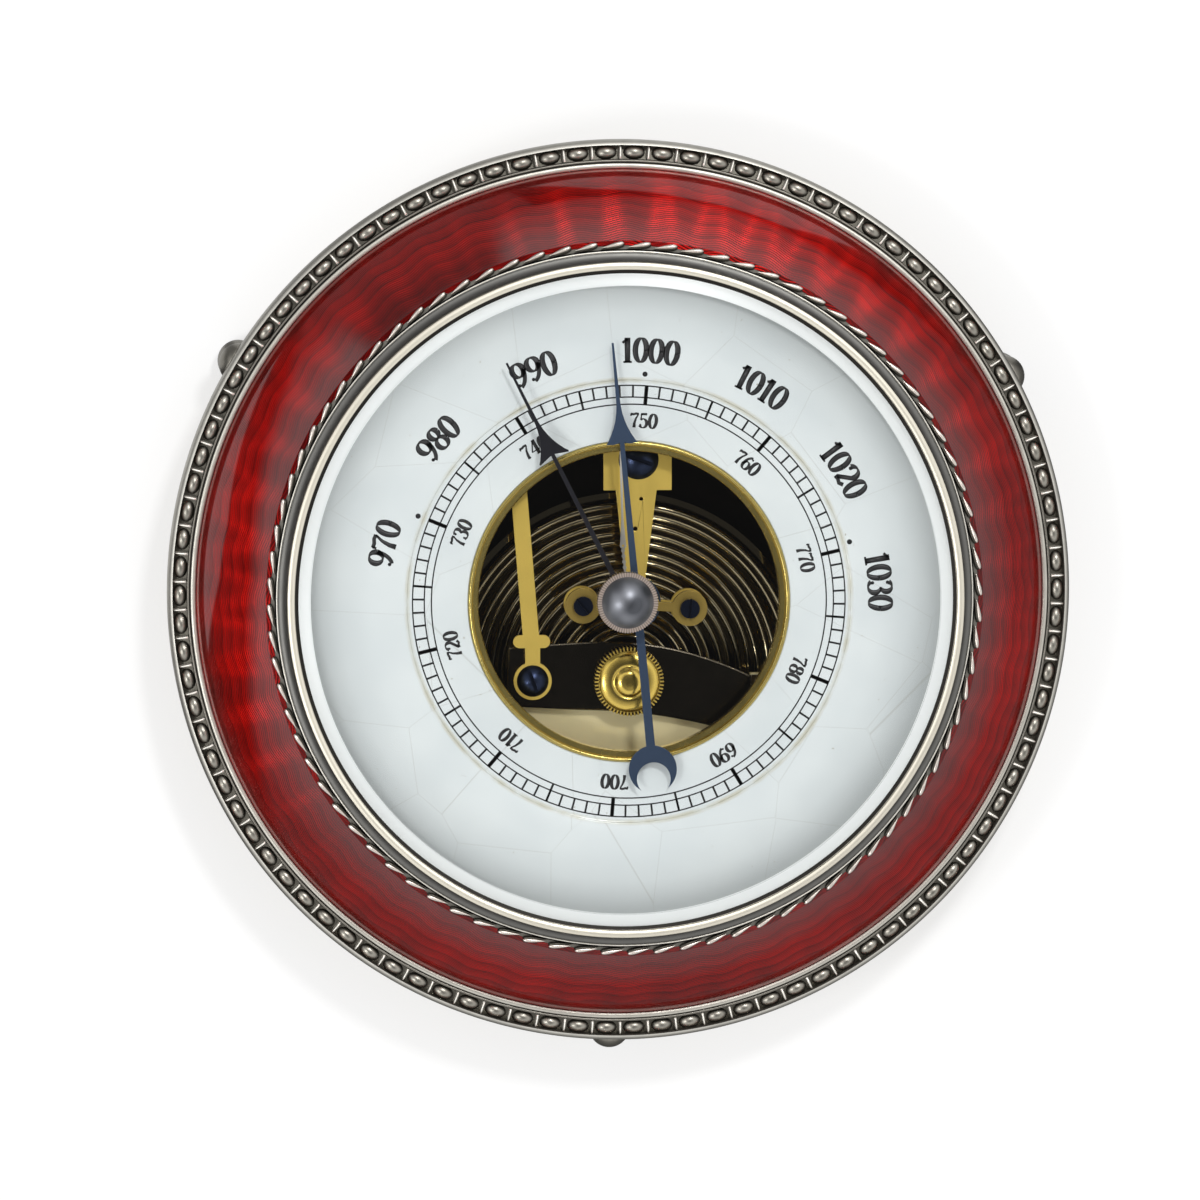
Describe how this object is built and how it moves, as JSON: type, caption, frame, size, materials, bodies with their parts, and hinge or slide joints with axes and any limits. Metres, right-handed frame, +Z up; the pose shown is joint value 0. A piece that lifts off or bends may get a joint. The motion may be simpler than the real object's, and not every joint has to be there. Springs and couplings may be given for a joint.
{
  "type": "desk barometer",
  "caption": "Round desk barometer with a bead border, red enamel over engine turning, bevelled glass and an open-centre dial that shows the movement.",
  "frame": {"origin": "on the case's axis at the table plane under the feet", "axes": "+Z up out of the dial, +Y towards 12 o'clock on the dial, +X towards 3 o'clock"},
  "size_m": [0.14, 0.1417, 0.0322],
  "materials": {
    "silver": "aged silver, tarnished in the hollows",
    "enamel": "translucent red enamel over engine turning",
    "glass": "clear, polished, bevelled edge",
    "dial": "white enamel, glossy",
    "brass": "polished and lacquered",
    "steel": "polished",
    "blued_steel": "heat blued, polished",
    "black_steel": "blackened, satin",
    "capsule": "dark bronzed sheet metal"
  },
  "bodies": {
    "case": {"rim": "silver", "bead_border": "silver", "bead_frame": "silver", "surround": "silver", "enamel": "enamel", "rope_border": "silver", "bezel": "silver", "glass": "glass", "glass_ring": "silver", "case_body": "brass", "back_cover": "brass", "feet": "silver", "foot_nuts": "brass", "dial": "dial", "opening_ring": "brass", "dial_posts": "brass", "set_bush": "brass", "base_plate": "brass", "base_screws": "brass", "capsule_base": "capsule", "capsule_top": "capsule", "spring_bridge": "brass", "bridge_screws": "blued_steel", "spring_clamp": "brass", "clamp_screws": "blued_steel", "shaft_bracket": "brass", "hairspring": "blued_steel", "hairspring_stud": "brass", "cock": "brass", "cock_pillar": "brass", "cock_screw": "blued_steel", "ear_plate": "brass", "ear_pillars": "brass", "ear_screws": "blued_steel", "lower_plate": "brass"},
    "set_hand_assembly": {"set_knob": "steel", "set_spindle": "brass", "set_hand": "black_steel"},
    "pointer_assembly": {"pointer": "blued_steel", "pointer_hub": "brass", "arbor": "steel", "chain_drum": "brass", "hairspring_collet": "brass"},
    "link_assembly": {"pull_link": "steel", "chain": "steel"},
    "shaft_assembly": {"regulating_shaft": "steel"},
    "mainspring_assembly": {"mainspring": "steel", "knurled_nut": "brass", "main_lever": "brass", "lever_screw": "blued_steel", "drop_link": "steel", "capsule_post": "brass"},
    "adjusting_screw_assembly": {"adjusting_screw": "steel"}
  },
  "joints": [
    {"name": "set_hand_turn", "type": "hinge", "parent": "case", "child": "set_hand_assembly", "pos_m": [0, 0, 0.0284], "axis": [0, 0, 1], "continuous": true},
    {"name": "pointer_turn", "type": "hinge", "parent": "case", "child": "pointer_assembly", "pos_m": [0.0019, -0.0016, 0.017], "axis": [0, 0, 1], "range_deg": [-118.8, 169.2], "deforming": ["hairspring"]},
    {"name": "link_slide", "type": "slide", "parent": "case", "child": "link_assembly", "axis": [0, 1, 0], "range_m": [-0.00331, 0.00233], "deforming": ["chain"]},
    {"name": "regulating_shaft_turn", "type": "hinge", "parent": "case", "child": "shaft_assembly", "pos_m": [-0.009, 0.0285, 0.012], "axis": [1, 0, 0], "range_deg": [-16.66, 23.73]},
    {"name": "mainspring_flex", "type": "hinge", "parent": "case", "child": "mainspring_assembly", "pos_m": [0.02, -0.0165, 0.01675], "axis": [0, 1, 0], "range_deg": [-0.99, 1.4], "deforming": ["mainspring", "capsule_top"]},
    {"name": "adjusting_screw_turn", "type": "hinge", "parent": "case", "child": "adjusting_screw_assembly", "pos_m": [0.001, -0.0133, 0.0045], "axis": [0, 0, 1], "range_deg": [-90, 90]}
  ],
  "couplings": [
    {"joint": "link_slide", "follows": "pointer_turn", "m_per_rad": -0.0011},
    {"joint": "regulating_shaft_turn", "follows": "pointer_turn", "ratio": 0.1375},
    {"joint": "mainspring_flex", "follows": "pointer_turn", "ratio": 0.0081345}
  ]
}
